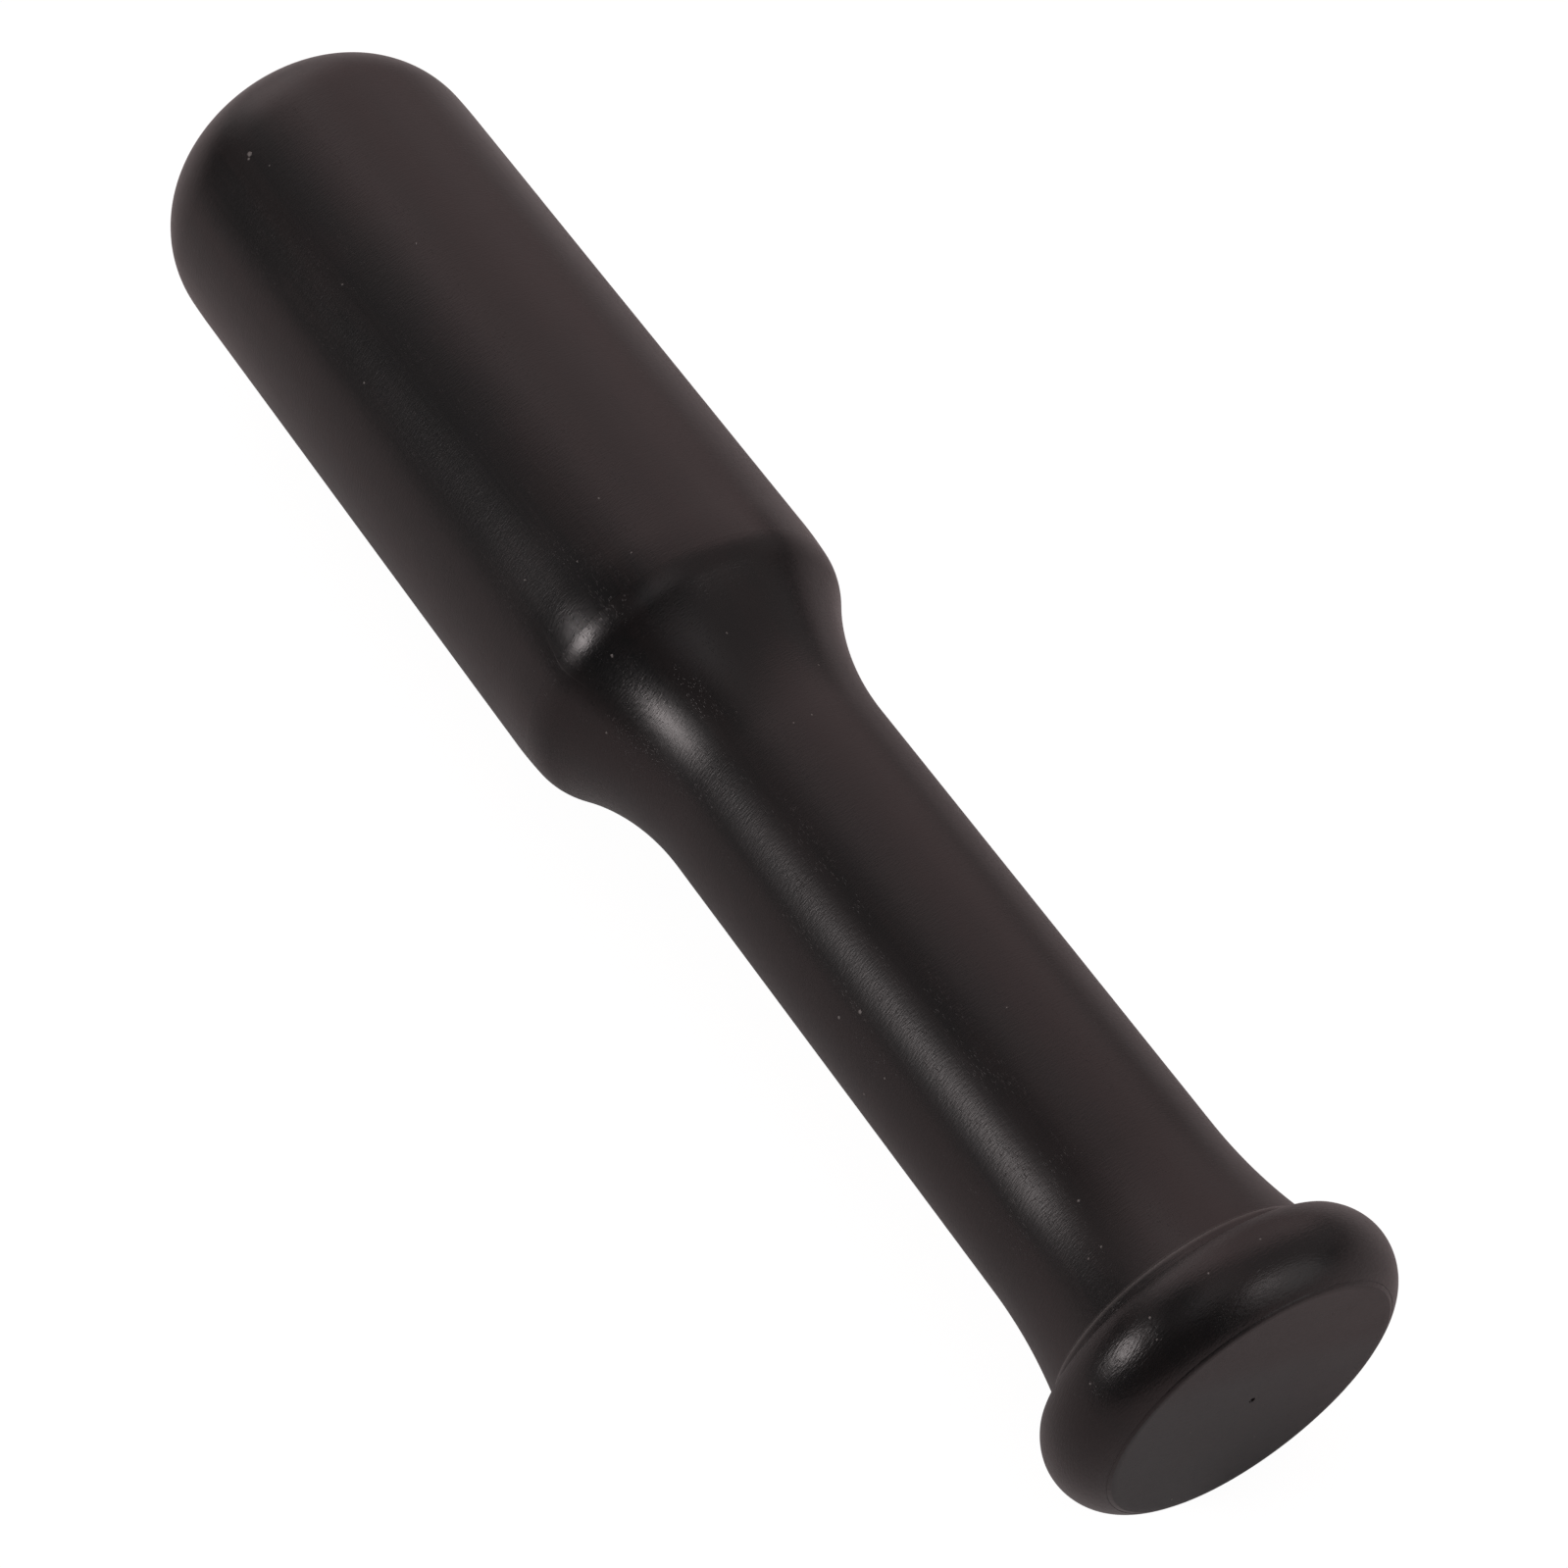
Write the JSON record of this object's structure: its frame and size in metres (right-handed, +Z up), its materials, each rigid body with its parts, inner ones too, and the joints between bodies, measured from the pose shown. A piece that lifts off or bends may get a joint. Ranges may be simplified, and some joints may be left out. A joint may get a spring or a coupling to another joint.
{
  "type": "sauerkraut pounder",
  "caption": "Turned wooden kraut pounder: domed cylindrical head, soft shoulder, slim grip flaring to a rounded end knob with a flat face.",
  "frame": {"origin": "middle of the length, under the turning axis, on the surface that the pounder lies on", "axes": "+X along the turning axis from the domed head towards the flat end, +Z up, +Y across"},
  "size_m": [0.2504, 0.0516, 0.0515],
  "materials": {
    "head_wood": "near-black hardwood, turned, sanded and oiled to a soft sheen, with fine open pores",
    "handle_wood": "the same near-black hardwood, a little smoother, with faint red-brown streaks",
    "knob_wood": "the same near-black hardwood, with a matt sawn and sanded end-grain face"
  },
  "bodies": {
    "root": {"head": "head_wood", "handle": "handle_wood", "end_knob": "knob_wood"}
  },
  "joints": []
}
